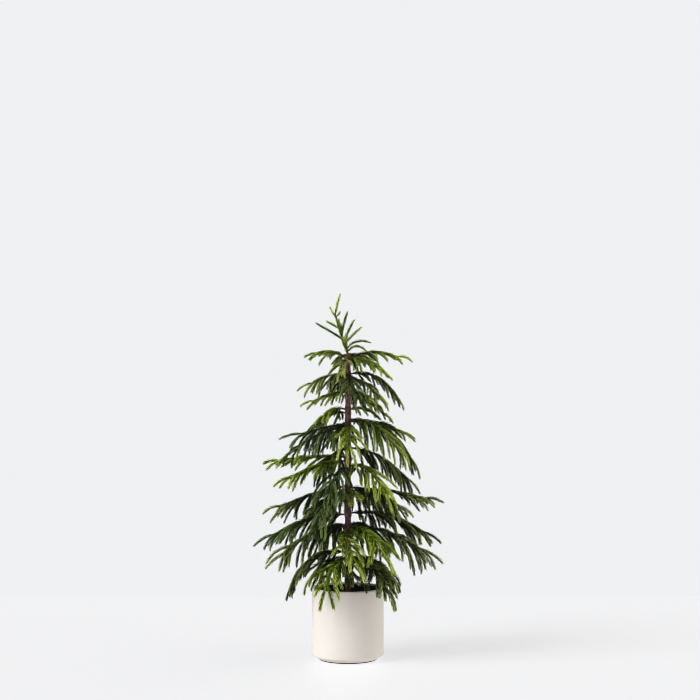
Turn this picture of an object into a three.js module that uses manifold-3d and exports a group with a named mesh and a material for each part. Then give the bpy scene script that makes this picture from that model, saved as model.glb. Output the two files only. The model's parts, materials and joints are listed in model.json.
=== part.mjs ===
// Artificial tabletop tree: a potted Norfolk-pine shape with wired fronds in nine whorls.
// Millimetres, +Z up. The origin is the centre of the base pad's underside, on the trunk's axis.
// +X is to the right and -Y is to the front of the tree.

import * as THREE from "three";
import { mergeVertices } from "three/addons/utils/BufferGeometryUtils.js";
import Module from "manifold-3d";

const wasm = await Module();
wasm.setup();

// ---- driving dimensions -------------------------------------------------------------------

const GAP = 0.3; // clearance between pieces that touch

const POT = {
  radius: 89,
  height: 179,
  wall: 9,
  floor: 10,
  footRadius: 75,
  footHeight: 7,
  footChamfer: 2,
  floorChamfer: 4,
  edgeRadius: 5,
  rimRadius: 4,
};
const PAD = { radius: 72, thickness: 2 };
const LINER = { topRadius: 78, bottomRadius: 66, wall: 1.6, rimDrop: 4, lip: 1.5 };
const BALLAST_HEIGHT = 52;
const SOIL = { drop: 14, thickness: 9 };
const ROD = { radius: 3, top: 752, foot: 14 };
const BARK = {
  bottomRadius: 8,
  topRadius: 6.2,
  top: 757,
  topChamfer: 1,
  knot: 2, // how far a knot stands out from the bark
  knotHeight: 9,
  sides: 10,
};

// A frond is a wired stem with twigs on both sides and below. The stem leaves the trunk at
// `rise` degrees above the horizontal and bends down evenly to `fall` degrees at its tip.
const STEM = { radius: 2.3, sides: 5, steps: 5, socket: 2.3 };
const TWIG = {
  radius: 1.9,
  sides: 3,
  pitch: 26, // distance between the rows of twigs along the stem
  stagger: 0.25, // how far the twigs of a row stand apart, as a share of the pitch
  first: 0.16, // where along the stem the twigs begin and end
  last: 0.94,
  lowest: 0.7, // the last row that has a twig below the stem, as a share of the rows
  widest: 60, // degrees from the stem, near the trunk and at the tip
  narrowest: 28,
  spreadVariation: 8,
  lengthVariation: 0.12,
  innerTaper: 0.3, // how much shorter the first and the last twigs are than the longest
  outerTaper: 0.5,
  sag: 0.8, // how strongly a twig's own weight turns it down, and one below the stem
  lowerSag: 1.4,
  sagTaper: 0.5, // how much less the last twigs hang than the first
  sagVariation: 0.4,
  tipShare: 0.7, // length of the twig that ends the stem, as a share of the longest
  tipLift: 8, // degrees that this twig is raised above the stem's end
  trimStep: 0.86, // each clearance cut shortens a twig to this share
  shortest: 16, // a twig that clearance trims below this is left out
};
const SWING = 7; // degrees that each frond bends up or down at the trunk
const CLEARANCE = 1; // kept between different fronds through that swing
const POT_CLEARANCE = 3; // kept between the twigs and the pot

// Whorls from the top down, each at its height on the trunk. For each frond: its azimuth from
// +X, how far above the whorl's height it leaves the trunk, its stem's length, rise and fall, how
// many degrees it bends to the side, the length of its longest twigs and how much they hang.
const WHORLS = [
  { height: 750, fronds: [
    [180, 4, 66, 38, -22, 0, 48, 0.6], [2, 4, 112, 24, -24, -6, 56, 0.6],
    [326, 0, 94, 4, -44, 6, 48, 0.5], [250, -4, 58, 6, -62, 0, 44, 0.7],
    [84, 4, 92, 22, -40, 0, 58, 0.6]] },
  { height: 706, fronds: [
    [190, 2, 84, 8, -34, 8, 60, 1.2], [276, 6, 86, -4, -64, 6, 58, 0.8],
    [318, -6, 104, -4, -52, 0, 58, 0.8], [347, 6, 128, 12, -64, 0, 58, 0.9],
    [102, -2, 92, 10, -42, 0, 62, 0.9]] },
  { height: 664, fronds: [
    [204, 2, 82, -2, -28, -8, 48, 0.6], [343, -8, 98, -10, -48, 0, 38, 0.3],
    [62, 4, 88, 8, -42, 0, 62, 0.9]] },
  { height: 620, fronds: [
    [200, 4, 54, 14, -48, 0, 44, 0.9], [346, 4, 66, 16, -46, 0, 44, 0.5],
    [146, -6, 84, 8, -44, 0, 60, 0.9]] },
  { height: 590, fronds: [
    [187, -6, 104, -4, -20, 0, 80, 1.5], [210, -14, 146, 0, -40, 0, 80, 1.2],
    [270, -10, 92, 4, -70, 0, 68, 0.8], [322, 4, 146, 8, -52, 0, 92, 1.5],
    [342, 8, 172, 2, -66, 4, 90, 1.1], [24, 2, 132, 6, -30, 0, 72, 0.6],
    [102, -6, 132, 8, -44, 0, 80, 1]] },
  { height: 502, fronds: [
    [171, 2, 160, 4, -14, 2, 60, 0.5], [205, -8, 146, 0, -30, -4, 66, 0.8],
    [244, -26, 104, 12, -74, 0, 84, 1], [308, -20, 152, 14, -62, 0, 72, 0.9],
    [16, 24, 156, -6, -52, 0, 84, 1.3], [118, 22, 130, -4, -52, 0, 80, 1.2]] },
  { height: 420, fronds: [
    [191, 10, 160, -8, -26, 0, 70, 1.1], [228, 2, 120, -6, -64, 0, 80, 1.2],
    [278, -4, 46, 20, -40, 0, 46, 0.4], [332, 8, 134, 0, -36, 0, 66, 0.9],
    [352, 0, 180, 6, -18, 0, 66, 0.5], [46, -10, 150, 8, -46, 0, 84, 1.3],
    [126, -14, 150, 4, -46, 0, 84, 1.2]] },
  { height: 340, fronds: [
    [172, 20, 182, 2, -36, 0, 86, 1.2], [212, -8, 178, 4, -40, 0, 88, 1],
    [254, -20, 140, 6, -62, 58, 74, 0.5], [306, -12, 146, 8, -52, 0, 80, 0.9],
    [339, -8, 186, 2, -34, 0, 92, 1.2], [14, 24, 190, 6, -38, 0, 82, 1],
    [62, -8, 170, 8, -46, 0, 86, 1.3], [118, -12, 172, 8, -46, 0, 86, 1.3]] },
  { height: 258, fronds: [
    [186, 8, 150, 12, -72, 0, 72, 0.7], [242, -6, 132, 8, -70, 0, 72, 0.6],
    [275, -2, 112, 4, -70, 0, 72, 0.7], [311, -10, 162, 14, -66, 0, 66, 1],
    [340, -4, 100, 12, -50, 0, 62, 0.8], [40, -12, 138, 8, -54, 0, 82, 1.3],
    [124, -12, 138, 8, -54, 0, 82, 1.3]] },
];

// The leader's stem leans to the left. Its twigs are [share of the stem, azimuth, elevation,
// length], from the top down.
const LEADER = {
  route: [[0, 0, 759], [-2, 0, 767], [-8, 0, 782], [-18, 0, 812], [-27, 0, 843], [-32, 0, 857]],
  twigs: [
    [1, 356, 77, 54], [0.97, 186, 58, 27], [0.66, 182, 31, 36], [0.51, 4, 75, 58],
    [0.55, 100, 50, 44], [0.44, 262, 56, 38], [0.4, 180, 31, 76], [0.33, 352, 64, 60],
    [0.27, 8, 45, 60], [0.14, 346, 24, 62], [0.07, 338, 14, 50], [0.2, 290, 66, 34],
    [0.12, 222, 58, 34], [0.1, 92, 30, 40],
  ],
};

// ---- colours and finishes -----------------------------------------------------------------

const finish = (color, roughness, metalness = 0) =>
  new THREE.MeshStandardMaterial({ color, roughness, metalness });

const FINISH = {
  pot: finish(0xe9e2d8, 0.75),
  pad: finish(0x2b2825, 0.9),
  liner: finish(0x141414, 0.6),
  ballast: finish(0x8d8a84, 0.95),
  foam: finish(0x2f3a2a, 0.95),
  soil: finish(0x1a1612, 0.95),
  rod: finish(0xa8a8a8, 0.35, 1),
  bark: finish(0x5f3a2e, 0.8),
  leader: finish(0x6f8a35, 0.55),
  frond: finish(0x47602a, 0.55),
};

// ---- helpers ------------------------------------------------------------------------------

const tree = new THREE.Group();

function addPiece(name, geometry, material) {
  const mesh = new THREE.Mesh(geometry, material);
  mesh.name = name;
  tree.add(mesh);
}

// A ring or cup turned about the trunk's axis from a closed outline of [radius, height] points.
function turned(outline, sides = 32) {
  const points = outline.map(([radius, height]) => new THREE.Vector2(radius, height));
  const geometry = new THREE.LatheGeometry(points, sides);
  return geometry.rotateX(Math.PI / 2);
}

// Points of a quarter-circle from angle `from` to `to` degrees, for a rounded edge.
function roundedEdge(centreRadius, centreHeight, radius, from, to, steps = 3) {
  const points = [];
  for (let i = 0; i <= steps; i += 1) {
    const angle = THREE.MathUtils.degToRad(from + ((to - from) * i) / steps);
    points.push([centreRadius + radius * Math.cos(angle), centreHeight + radius * Math.sin(angle)]);
  }
  return points;
}

function toSolid(geometry) {
  const bare = geometry.clone();
  bare.deleteAttribute("normal");
  bare.deleteAttribute("uv");
  const merged = mergeVertices(bare, 1e-4);
  const mesh = new wasm.Mesh({
    numProp: 3,
    vertProperties: Float32Array.from(merged.attributes.position.array),
    triVerts: Uint32Array.from(merged.index.array),
  });
  return new wasm.Manifold(mesh);
}

function toGeometry(solid) {
  const mesh = solid.getMesh();
  const geometry = new THREE.BufferGeometry();
  geometry.setAttribute("position", new THREE.BufferAttribute(mesh.vertProperties, 3));
  geometry.setIndex(new THREE.BufferAttribute(mesh.triVerts, 1));
  geometry.computeVertexNormals();
  return geometry;
}

function joined(geometries) {
  const solids = geometries.map(toSolid);
  return toGeometry(solids.reduce((sum, solid) => sum.add(solid)));
}

// A direction `azimuth` degrees round from +X and `elevation` degrees above the horizontal.
function heading(azimuth, elevation) {
  const around = THREE.MathUtils.degToRad(azimuth);
  const up = THREE.MathUtils.degToRad(elevation);
  return new THREE.Vector3(
    Math.cos(around) * Math.cos(up),
    Math.sin(around) * Math.cos(up),
    Math.sin(up),
  );
}

// A straight spike from `start`, where it is thickest, to a point at `end`.
function spike(start, end, radius, sides) {
  const axis = end.clone().sub(start);
  const cone = new THREE.ConeGeometry(radius, axis.length(), sides);
  const turn = new THREE.Quaternion().setFromUnitVectors(
    new THREE.Vector3(0, 1, 0),
    axis.clone().normalize(),
  );
  const middle = start.clone().add(end).multiplyScalar(0.5);
  return cone.applyQuaternion(turn).translate(middle.x, middle.y, middle.z);
}

// ---- pot, liner and what they hold --------------------------------------------------------

function padGeometry() {
  return turned([[0, 0], [PAD.radius, 0], [PAD.radius, PAD.thickness], [0, PAD.thickness]]);
}

function potGeometry() {
  const base = PAD.thickness + GAP;
  const bodyBottom = base + POT.footHeight;
  const inner = POT.radius - POT.wall;
  const outline = [
    [0, base],
    [POT.footRadius - POT.footChamfer, base],
    [POT.footRadius, base + POT.footChamfer],
    [POT.footRadius, bodyBottom],
    ...roundedEdge(POT.radius - POT.edgeRadius, bodyBottom + POT.edgeRadius, POT.edgeRadius, -90, 0),
    ...roundedEdge(POT.radius - POT.rimRadius, POT.height - POT.rimRadius, POT.rimRadius, 0, 90),
    ...roundedEdge(inner + POT.rimRadius, POT.height - POT.rimRadius, POT.rimRadius, 90, 180),
    [inner, base + POT.floor + POT.floorChamfer],
    [inner - POT.floorChamfer, base + POT.floor],
    [0, base + POT.floor],
  ];
  return turned(outline, 40);
}

const linerBottom = PAD.thickness + POT.floor + 2 * GAP;
const linerTop = POT.height - LINER.rimDrop;
const soilTop = POT.height - SOIL.drop;

// The liner's inner radius at a height: it widens evenly from its floor to its rim.
function linerInside(height) {
  const share = (height - linerBottom) / (linerTop - linerBottom);
  return THREE.MathUtils.lerp(LINER.bottomRadius, LINER.topRadius, share) - LINER.wall;
}

function linerGeometry() {
  const floorTop = linerBottom + LINER.wall;
  return turned([
    [0, linerBottom],
    [LINER.bottomRadius, linerBottom],
    [LINER.topRadius, linerTop - LINER.lip],
    [LINER.topRadius + LINER.lip, linerTop - LINER.lip],
    [LINER.topRadius + LINER.lip, linerTop],
    [linerInside(linerTop), linerTop],
    [linerInside(floorTop), floorTop],
    [0, floorTop],
  ]);
}

// A plug that fills the liner between two heights, with a hole of `hole` radius for the trunk.
function plug(bottom, top, hole) {
  return turned([
    [hole, bottom],
    [linerInside(bottom) - GAP, bottom],
    [linerInside(top) - GAP, top],
    [hole, top],
    [hole, bottom],
  ]);
}

const ballastBottom = linerBottom + LINER.wall + GAP;
const ballastTop = ballastBottom + BALLAST_HEIGHT;
const foamTop = soilTop - SOIL.thickness - GAP;
const rodFoot = ballastBottom + ROD.foot;
const barkBottom = ballastTop + GAP;
const trunkHole = BARK.bottomRadius + GAP;

// The cement is cast round the foot of the rod, so its hole is blind.
function ballastGeometry() {
  return turned([
    [0, ballastBottom],
    [linerInside(ballastBottom) - GAP, ballastBottom],
    [linerInside(ballastTop) - GAP, ballastTop],
    [ROD.radius + GAP, ballastTop],
    [ROD.radius + GAP, rodFoot - GAP],
    [0, rodFoot - GAP],
  ]);
}

// ---- trunk --------------------------------------------------------------------------------

function barkRadius(height) {
  const share = (height - barkBottom) / (BARK.top - barkBottom);
  return THREE.MathUtils.lerp(BARK.bottomRadius, BARK.topRadius, share);
}

function knotRadius(height) {
  return barkRadius(height) + BARK.knot;
}

function rodGeometry() {
  const length = ROD.top - rodFoot;
  const rod = new THREE.CylinderGeometry(ROD.radius, ROD.radius, length, 16);
  return rod.rotateX(Math.PI / 2).translate(0, 0, rodFoot + length / 2);
}

// The bark is wound over the rod, and swells into a knot round the wires of each whorl, from
// its lowest frond to its highest.
function barkGeometry() {
  const bore = ROD.radius + GAP;
  const half = BARK.knotHeight / 2;
  const outline = [[bore, barkBottom], [BARK.bottomRadius, barkBottom]];
  for (const whorl of [...WHORLS].reverse()) {
    const lifts = whorl.fronds.map(([, lift]) => lift);
    const lowest = whorl.height + Math.min(...lifts);
    const highest = Math.min(whorl.height + Math.max(...lifts), BARK.top - BARK.topChamfer - half);
    const bottom = lowest - BARK.knotHeight;
    const top = Math.min(highest + BARK.knotHeight, BARK.top);
    outline.push([barkRadius(bottom), bottom], [knotRadius(lowest), lowest - half]);
    outline.push([knotRadius(highest), highest + half], [barkRadius(top), top]);
  }
  outline.push([bore, BARK.top], [bore, barkBottom]);
  return turned(outline, BARK.sides);
}

// ---- fronds -------------------------------------------------------------------------------

// The stem's direction at a share of its length.
function stemCourse(frond, share) {
  const elevation = THREE.MathUtils.lerp(frond.rise, frond.fall, share);
  return heading(frond.azimuth + frond.bend * share, elevation);
}

// Centre line of a frond's stem, from its hinge at the knot to its tip.
function stemRoute(frond) {
  const points = [frond.hinge.clone()];
  const step = frond.length / STEM.steps;
  for (let i = 0; i < STEM.steps; i += 1) {
    const course = stemCourse(frond, (i + 0.5) / STEM.steps);
    points.push(points[i].clone().addScaledVector(course, step));
  }
  return points;
}

// Point at a share of the stem.
function alongStem(frond, share) {
  const place = share * STEM.steps;
  const index = Math.min(Math.floor(place), STEM.steps - 1);
  return frond.route[index].clone().lerp(frond.route[index + 1], place - index);
}

// A repeatable uneven value from -1 to 1, so that no two twigs are alike.
function uneven(seed) {
  const value = Math.sin(seed * 12.9898 + 4.1414) * 43758.5453;
  return 2 * (value - Math.floor(value)) - 1;
}

// Twigs leave the stem in rows, left, below and right: wide and long near the trunk, closer
// and shorter at the tip.
function twigPlan(frond) {
  const rows = Math.max(2, Math.round((frond.length * (TWIG.last - TWIG.first)) / TWIG.pitch));
  const twigs = [];
  for (let i = 0; i < rows; i += 1) {
    for (const side of i < TWIG.lowest * rows ? [-1, 0, 1] : [-1, 1]) {
      const seed = frond.seed + i * 3 + side;
      const along = (i + 0.5 + side * TWIG.stagger) / rows;
      const share = THREE.MathUtils.lerp(TWIG.first, TWIG.last, along);
      const spread = THREE.MathUtils.lerp(TWIG.widest, TWIG.narrowest, along);
      const turn = THREE.MathUtils.degToRad(spread + TWIG.spreadVariation * uneven(seed));
      const direction = stemCourse(frond, share).multiplyScalar(Math.cos(turn));
      direction.addScaledVector(heading(frond.azimuth + 90, 0), side * Math.sin(turn));
      const sag = frond.droop * (side === 0 ? TWIG.lowerSag : TWIG.sag);
      const weight = (1 - TWIG.sagTaper * along) * (1 + TWIG.sagVariation * uneven(seed + 0.5));
      direction.z -= sag * weight;
      const fullness = 1 - TWIG.innerTaper * (1 - along) ** 2 - TWIG.outerTaper * along ** 3;
      const variation = 1 + TWIG.lengthVariation * uneven(seed + 0.25);
      const length = frond.twigLength * fullness * variation;
      twigs.push({ start: alongStem(frond, share), direction: direction.normalize(), length });
    }
  }
  const direction = heading(frond.azimuth + frond.bend, frond.fall + TWIG.tipLift);
  twigs.push({ start: alongStem(frond, 1), direction, length: frond.twigLength * TWIG.tipShare });
  return twigs;
}

// Angles of a frond's swing at which clearance is tested, in degrees.
const SWING_STEPS = [-1, -0.5, 0, 0.5, 1].map((share) => share * SWING);
const REST = 2;
const LOW = 0;
const HIGH = SWING_STEPS.length - 1;

// The hinge's axis is level, so a positive turn lifts the frond's tip.
function hingeAxis(azimuth) {
  return heading(azimuth - 90, 0);
}

function swungSegments(frond, start, end) {
  return SWING_STEPS.map((angle) => {
    const turn = THREE.MathUtils.degToRad(angle);
    const move = (point) =>
      point.clone().sub(frond.hinge).applyAxisAngle(frond.axis, turn).add(frond.hinge);
    return [move(start), move(end)];
  });
}

// Shortest distance between two straight segments.
function segmentDistance([a0, a1], [b0, b1]) {
  const u = a1.clone().sub(a0);
  const v = b1.clone().sub(b0);
  const w = a0.clone().sub(b0);
  const uu = u.dot(u);
  const uv = u.dot(v);
  const vv = v.dot(v);
  const uw = u.dot(w);
  const vw = v.dot(w);
  const cross = uu * vv - uv * uv;
  let s = cross > 1e-9 ? THREE.MathUtils.clamp((uv * vw - vv * uw) / cross, 0, 1) : 0;
  const t = THREE.MathUtils.clamp((uv * s + vw) / vv, 0, 1);
  s = THREE.MathUtils.clamp((uv * t - uw) / uu, 0, 1);
  return a0.clone().addScaledVector(u, s).distanceTo(b0.clone().addScaledVector(v, t));
}

// Every pair of places that two neighbouring fronds can be in: one swinging past the other
// at rest, or both swung the same way.
const SWING_PAIRS = [];
for (let step = LOW; step <= HIGH; step += 1) {
  SWING_PAIRS.push([step, REST], [REST, step], [step, step]);
}

const grown = []; // every stem and twig placed so far, through its swing

function isClearOfFronds(frond, segments, reach) {
  const apart = CLEARANCE + STEM.radius + TWIG.radius;
  return grown.every((other) => {
    if (other.frond === frond) return true;
    const far = segments[REST][0].distanceTo(other.segments[REST][0]);
    if (far > reach + other.reach + apart) return true;
    return SWING_PAIRS.every(
      ([mine, theirs]) => segmentDistance(segments[mine], other.segments[theirs]) > apart,
    );
  });
}

// A twig stays above the rim, or outside it where it hangs lower.
function isClearOfPot(segments) {
  const top = POT.height + TWIG.radius + POT_CLEARANCE;
  const side = POT.radius + TWIG.radius + POT_CLEARANCE;
  return segments.every(([start, end]) =>
    [0, 0.25, 0.5, 0.75, 1].every((share) => {
      const point = start.clone().lerp(end, share);
      return point.z > top || Math.hypot(point.x, point.y) > side;
    }),
  );
}

// How far a frond's point can be from where it is at rest, when the frond swings.
const swingReach = (frond) => 2 * frond.length * Math.sin(THREE.MathUtils.degToRad(SWING));

// Shortens a twig until it stays clear of the pot and every other frond, or leaves it out.
function trimmedTwig(frond, twig) {
  for (let length = twig.length; length >= TWIG.shortest; length *= TWIG.trimStep) {
    const end = twig.start.clone().addScaledVector(twig.direction, length);
    const segments = swungSegments(frond, twig.start, end);
    const reach = length + swingReach(frond);
    if (isClearOfPot(segments) && isClearOfFronds(frond, segments, reach)) {
      grown.push({ frond, segments, reach });
      return { start: twig.start, end };
    }
  }
  return null;
}

// A round section swept along a route.
function sweptTube(route, radius, sides) {
  const corners = [];
  for (let i = 0; i < sides; i += 1) {
    const angle = (2 * Math.PI * i) / sides;
    corners.push(new THREE.Vector2(radius * Math.cos(angle), radius * Math.sin(angle)));
  }
  const extrudePath = new THREE.CatmullRomCurve3(route);
  return new THREE.ExtrudeGeometry(new THREE.Shape(corners), { steps: STEM.steps, extrudePath });
}

function frondGeometry(frond) {
  const pieces = [sweptTube(frond.route, STEM.radius, STEM.sides)];
  for (const twig of frond.twigs) {
    pieces.push(spike(twig.start, twig.end, TWIG.radius, TWIG.sides));
  }
  return joined(pieces);
}

function makeFrond(name, seed, whorl, values) {
  const [azimuth, lift, length, rise, fall, bend, twigLength, droop] = values;
  const height = whorl.height + lift;
  const hinge = heading(azimuth, 0).multiplyScalar(knotRadius(height) + STEM.socket);
  hinge.z = height;
  const axis = hingeAxis(azimuth);
  const frond = { name, seed, azimuth, length, rise, fall, bend, twigLength, droop, hinge, axis };
  frond.route = stemRoute(frond);
  return frond;
}

const fronds = [];
WHORLS.forEach((whorl, tier) => {
  whorl.fronds.forEach((values, place) => {
    const name = `frond_${tier + 1}${"abcdefghi"[place]}`;
    fronds.push(makeFrond(name, 100 * tier + 10 * place, whorl, values));
  });
});

function makeLeader() {
  const points = LEADER.route.map((values) => new THREE.Vector3(...values));
  const curve = new THREE.CatmullRomCurve3(points);
  return {
    name: "leader",
    hinge: points[0],
    axis: new THREE.Vector3(0, 1, 0),
    length: curve.getLength(),
    route: curve.getSpacedPoints(STEM.steps),
  };
}

function leaderTwigPlan(leader) {
  return LEADER.twigs.map(([share, azimuth, elevation, length]) => ({
    start: alongStem(leader, share),
    direction: heading(azimuth, elevation),
    length,
  }));
}

// All the stems are placed first, and then the twigs fill the room that is left.
const leader = makeLeader();
for (const frond of [leader, ...fronds]) {
  for (let i = 0; i < STEM.steps; i += 1) {
    const segments = swungSegments(frond, frond.route[i], frond.route[i + 1]);
    grown.push({ frond, segments, reach: frond.length / STEM.steps + swingReach(frond) });
  }
}
leader.twigs = leaderTwigPlan(leader).map((twig) => trimmedTwig(leader, twig)).filter(Boolean);
for (const frond of fronds) {
  frond.twigs = twigPlan(frond).map((twig) => trimmedTwig(frond, twig)).filter(Boolean);
}

// ---- assembly -----------------------------------------------------------------------------

addPiece("base_pad", padGeometry(), FINISH.pad);
addPiece("pot", potGeometry(), FINISH.pot);
addPiece("liner_pot", linerGeometry(), FINISH.liner);
addPiece("ballast", ballastGeometry(), FINISH.ballast);
addPiece("foam_plug", plug(barkBottom, foamTop, trunkHole), FINISH.foam);
addPiece("faux_soil", plug(foamTop + GAP, soilTop, trunkHole), FINISH.soil);
addPiece("trunk_rod", rodGeometry(), FINISH.rod);
addPiece("trunk_bark", barkGeometry(), FINISH.bark);
addPiece("leader", frondGeometry(leader), FINISH.leader);
for (const frond of fronds) {
  addPiece(frond.name, frondGeometry(frond), FINISH.frond);
}

export default tree;
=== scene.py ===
"""Artificial tabletop tree: the looks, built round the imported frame.

Metres, +Z up, with -Y to the front and the origin under the pot, as in the frame. Angles are in
degrees. Each frond is one piece: a wired stem, its twigs and their soft moulded needles.
"""

import json
import math

import bpy
import numpy as np
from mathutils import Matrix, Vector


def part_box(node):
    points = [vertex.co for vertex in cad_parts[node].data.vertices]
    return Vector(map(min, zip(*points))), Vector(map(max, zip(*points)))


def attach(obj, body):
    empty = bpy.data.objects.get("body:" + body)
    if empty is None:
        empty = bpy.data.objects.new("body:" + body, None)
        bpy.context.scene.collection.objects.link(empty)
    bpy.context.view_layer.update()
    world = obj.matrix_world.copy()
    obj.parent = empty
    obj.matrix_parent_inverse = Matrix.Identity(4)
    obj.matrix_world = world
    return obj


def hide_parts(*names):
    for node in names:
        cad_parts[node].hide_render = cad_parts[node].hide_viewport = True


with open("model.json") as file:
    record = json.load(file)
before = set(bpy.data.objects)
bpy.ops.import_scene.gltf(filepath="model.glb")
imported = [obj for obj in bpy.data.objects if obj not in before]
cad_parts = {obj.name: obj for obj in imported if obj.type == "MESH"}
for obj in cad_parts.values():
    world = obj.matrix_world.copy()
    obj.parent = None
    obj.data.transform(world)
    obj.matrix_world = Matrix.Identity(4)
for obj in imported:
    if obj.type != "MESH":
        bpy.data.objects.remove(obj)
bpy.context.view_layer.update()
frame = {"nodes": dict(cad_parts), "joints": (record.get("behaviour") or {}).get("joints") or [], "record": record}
JOINTS = {joint["child"]: joint for joint in frame["joints"]}
SLOTS = {part["node"]: part["material_slot"] for part in frame["record"]["subparts"]}
MM = 0.001

# ---- driving values -----------------------------------------------------------------------

# For each frond: its stem's length in mm, the angles above the horizontal at which the stem
# leaves the trunk and ends, how far it bends to the side, its longest twig in mm and how much
# its twigs hang. Its place comes from its hinge.
FRONDS = {
    "1a": (66, 38, -22, 0, 48, 0.6), "1b": (112, 24, -24, -6, 56, 0.6),
    "1c": (94, 4, -44, 6, 48, 0.5), "1d": (58, 6, -62, 0, 44, 0.7),
    "1e": (92, 22, -40, 0, 58, 0.6),
    "2a": (84, 8, -34, 8, 60, 1.2), "2b": (86, -4, -64, 6, 58, 0.8),
    "2c": (104, -4, -52, 0, 58, 0.8), "2d": (128, 12, -64, 0, 58, 0.9),
    "2e": (92, 10, -42, 0, 62, 0.9),
    "3a": (82, -2, -28, -8, 48, 0.6), "3b": (98, -10, -48, 0, 38, 0.3),
    "3c": (88, 8, -42, 0, 62, 0.9),
    "4a": (54, 14, -48, 0, 44, 0.9), "4b": (66, 16, -46, 0, 44, 0.5),
    "4c": (84, 8, -44, 0, 60, 0.9),
    "5a": (104, -4, -20, 0, 80, 1.5), "5b": (146, 0, -40, 0, 80, 1.2),
    "5c": (92, 4, -70, 0, 68, 0.8), "5d": (146, 8, -52, 0, 92, 1.5),
    "5e": (172, 2, -66, 4, 90, 1.1), "5f": (132, 6, -30, 0, 72, 0.6),
    "5g": (132, 8, -44, 0, 80, 1),
    "6a": (160, 4, -14, 2, 60, 0.5), "6b": (146, 0, -30, -4, 66, 0.8),
    "6c": (104, 12, -74, 0, 84, 1), "6d": (152, 14, -62, 0, 72, 0.9),
    "6e": (156, -6, -52, 0, 84, 1.3), "6f": (130, -4, -52, 0, 80, 1.2),
    "7a": (160, -8, -26, 0, 70, 1.1), "7b": (120, -6, -64, 0, 80, 1.2),
    "7c": (46, 20, -40, 0, 46, 0.4), "7d": (134, 0, -36, 0, 66, 0.9),
    "7e": (180, 6, -18, 0, 66, 0.5), "7f": (150, 8, -46, 0, 84, 1.3),
    "7g": (150, 4, -46, 0, 84, 1.2),
    "8a": (182, 2, -36, 0, 86, 1.2), "8b": (178, 4, -40, 0, 88, 1),
    "8c": (140, 6, -62, 58, 74, 0.5), "8d": (146, 8, -52, 0, 80, 0.9),
    "8e": (186, 2, -34, 0, 92, 1.2), "8f": (190, 6, -38, 0, 82, 1),
    "8g": (170, 8, -46, 0, 86, 1.3), "8h": (172, 8, -46, 0, 86, 1.3),
    "9a": (150, 12, -72, 0, 72, 0.7), "9b": (132, 8, -70, 0, 72, 0.6),
    "9c": (112, 4, -70, 0, 72, 0.7), "9d": (162, 14, -66, 0, 66, 1),
    "9e": (100, 12, -50, 0, 62, 0.8), "9f": (138, 8, -54, 0, 82, 1.3),
    "9g": (138, 8, -54, 0, 82, 1.3),
}
# The leader's stem runs through these points, in mm.
LEADER_ROUTE = [[0, 0, 759], [-2, 0, 767], [-8, 0, 782], [-18, 0, 812], [-27, 0, 843],
                [-32, 0, 857]]
# The leader's twigs: share of its stem, azimuth, elevation, length in mm and how much it arches.
LEADER_TWIGS = [
    (1, 356, 77, 54, 0.03), (0.97, 186, 58, 27, 0), (0.95, 350, 52, 16, 0),
    (0.66, 182, 31, 36, 0.02), (0.51, 4, 75, 58, 0.02), (0.55, 100, 50, 44, 0.05),
    (0.44, 262, 56, 38, 0.05), (0.40, 180, 31, 76, 0.01), (0.33, 352, 64, 60, 0.02),
    (0.27, 8, 45, 60, 0.02), (0.14, 346, 16, 62, 0.18), (0.2, 290, 66, 34, 0.05),
    (0.07, 338, 4, 50, 0.26), (0.12, 222, 58, 34, 0.08), (0.08, 286, -50, 32, 0.1),
    (0.05, 208, -40, 26, 0.1), (0.05, 312, -44, 24, 0.1), (0.1, 92, 30, 40, 0.1),
]
LEADER_SIZE = 0.92  # the size of its needles
# A stem's radii at its root and tip, and the length of its peg, which is inside the knot.
STEM = {"root": 2.1 * MM, "tip": 1.1 * MM, "peg": 4 * MM, "peg_taper": 0.8, "steps": 22, "sides": 7}
# Twigs leave a stem in rows, from its share "first" to its share "last". "widest" and
# "narrowest" are the angles between twig and stem at the trunk and at the stem's tip. "near" and
# "far" are how much shorter the twigs are there. The twig at the stem's tip has its own length,
# swerve and lift. The last line is how much the twigs differ from each other.
TWIG = {
    "first": 0.04, "last": 0.95, "stagger": 0.25, "widest": 60, "narrowest": 28,
    "sag": 0.8, "lower_sag": 1.36, "sag_fade": 0.5, "near": 0.3, "far": 0.28,
    "tip_length": 0.75, "tip_swerve": 6, "tip_lift": 8,
    "root": 1.25 * MM, "end": 0.5 * MM, "steps": 6, "sides": 4, "arch": 0.1, "sway": 0.03,
    "shortest": 9 * MM, "trim": 0.88,
    "turn": 15, "aside": 0.3, "hang": 0.5, "place": 0.2, "length": 0.22,
}
# For each kind of foliage: the distance between rows of twigs, the share of the stem that has
# twigs below it too, and the size of its needles.
HABIT = {
    "foliage_bright": (20 * MM, 0.4, 1.16), "foliage_green": (18 * MM, 0.6, 1.04),
    "foliage_dark": (17 * MM, 0.8, 1.04), "foliage_blue": (16 * MM, 0.7, 1.04),
}
LOWER, UPPER = 1.08, 0.78  # the distance and the size are scaled by this, from whorl 9 to whorl 1
# A needle leaves its twig at the angle "open", bends at the share "elbow" of its length and goes
# on at the angle "close". "turn" is the angle round the twig from one needle to the next. Needles
# are up to "tapering" slimmer when they are short. The last three values of the third line weigh
# the painted light on needles that face away from the trunk and upward. The last line is how much
# they differ.
NEEDLE = {
    "length": 11.5 * MM, "width": 1.5 * MM, "spacing": 1.3 * MM, "open": 29, "close": 12,
    "turn": 137.5, "elbow": 0.48, "depth": 0.5, "flatness": 0.55, "root_width": 0.8,
    "tapering": 0.4, "painted_light": 0.3, "outward": 0.6, "upward": 0.8,
    "turn_change": 0.25, "angle_change": 4, "length_change": 0.06, "tint_change": 0.2,
}
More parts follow.
